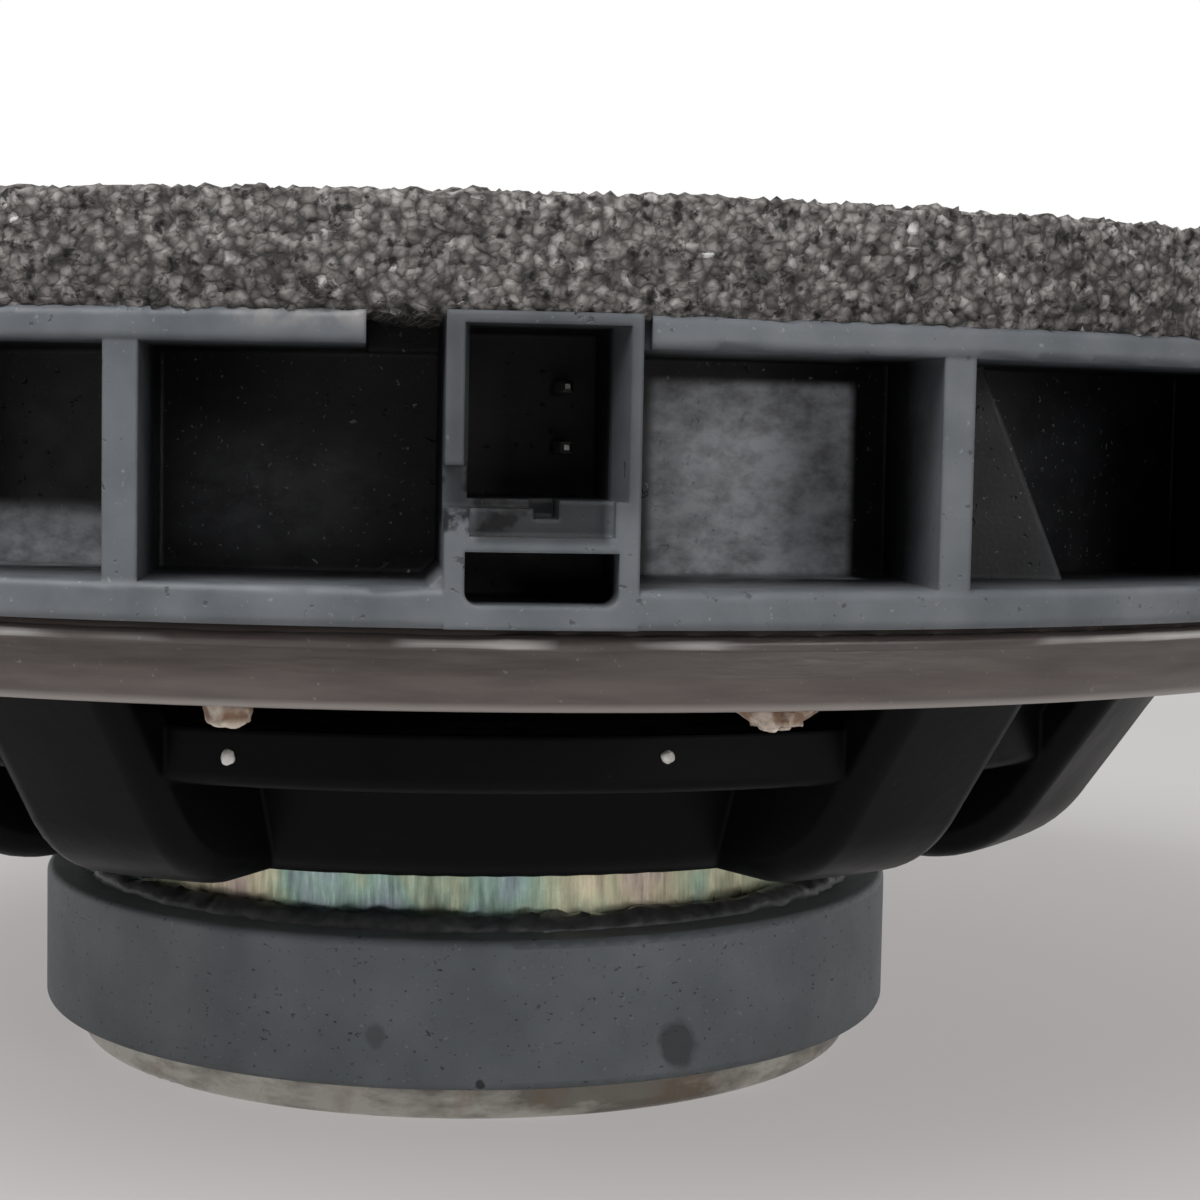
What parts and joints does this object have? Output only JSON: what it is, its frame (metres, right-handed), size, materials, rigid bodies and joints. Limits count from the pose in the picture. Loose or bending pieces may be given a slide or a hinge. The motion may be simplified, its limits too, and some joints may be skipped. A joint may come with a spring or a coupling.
{
  "type": "car door speaker",
  "caption": "Round door woofer: foam-faced pocketed mounting ring with a plug socket, rubber seal, pressed steel basket, sprung cone and ferrite magnet stack.",
  "frame": {"origin": "middle of the yoke's underside, where the speaker stands", "axes": "+Z along the speaker's axis towards the listening side, -Y towards the plug socket"},
  "size_m": [0.1786, 0.1786, 0.0702],
  "materials": {
    "foam": "coarse open-cell foam",
    "ring_plastic": "satin moulded",
    "seal_rubber": "satin",
    "basket_paint": "semi-gloss black",
    "rivet_steel": "plain",
    "plated_steel": "iridescent zinc plate",
    "ferrite": "ground, matt",
    "yoke_steel": "zinc plate, worn",
    "surround_rubber": "satin",
    "cone_paper": "pressed pulp",
    "cap_paper": "pressed pulp",
    "former_foil": "foil",
    "winding_copper": "enamelled copper",
    "spider_cloth": "resin-dipped cotton",
    "lead_braid": "braided tinsel",
    "anchor_resin": "cured resin",
    "hard_glue": "hardened glue",
    "contact_tin": "tinned"
  },
  "bodies": {
    "frame": {"foam_gasket": "foam", "mounting_ring": "ring_plastic", "rear_seal": "seal_rubber", "basket": "basket_paint", "flange_rivets": "rivet_steel", "top_plate": "plated_steel", "magnet": "ferrite", "yoke": "yoke_steel", "surround": "surround_rubber", "spider": "spider_cloth", "lead_left": "lead_braid", "lead_right": "lead_braid", "adhesive_drips": "hard_glue", "terminal_upper": "contact_tin", "terminal_lower": "contact_tin"},
    "cone_assembly": {"cone": "cone_paper", "dust_cap": "cap_paper", "coil_former": "former_foil", "voice_coil": "winding_copper", "lead_anchors": "anchor_resin"}
  },
  "joints": [
    {"name": "cone_travel", "type": "slide", "parent": "frame", "child": "cone_assembly", "axis": [0, 0, 1], "range_m": [-0.003, 0.003], "stiffness_N_per_m": 2000, "deforming": ["surround", "spider", "lead_left", "lead_right"]}
  ]
}
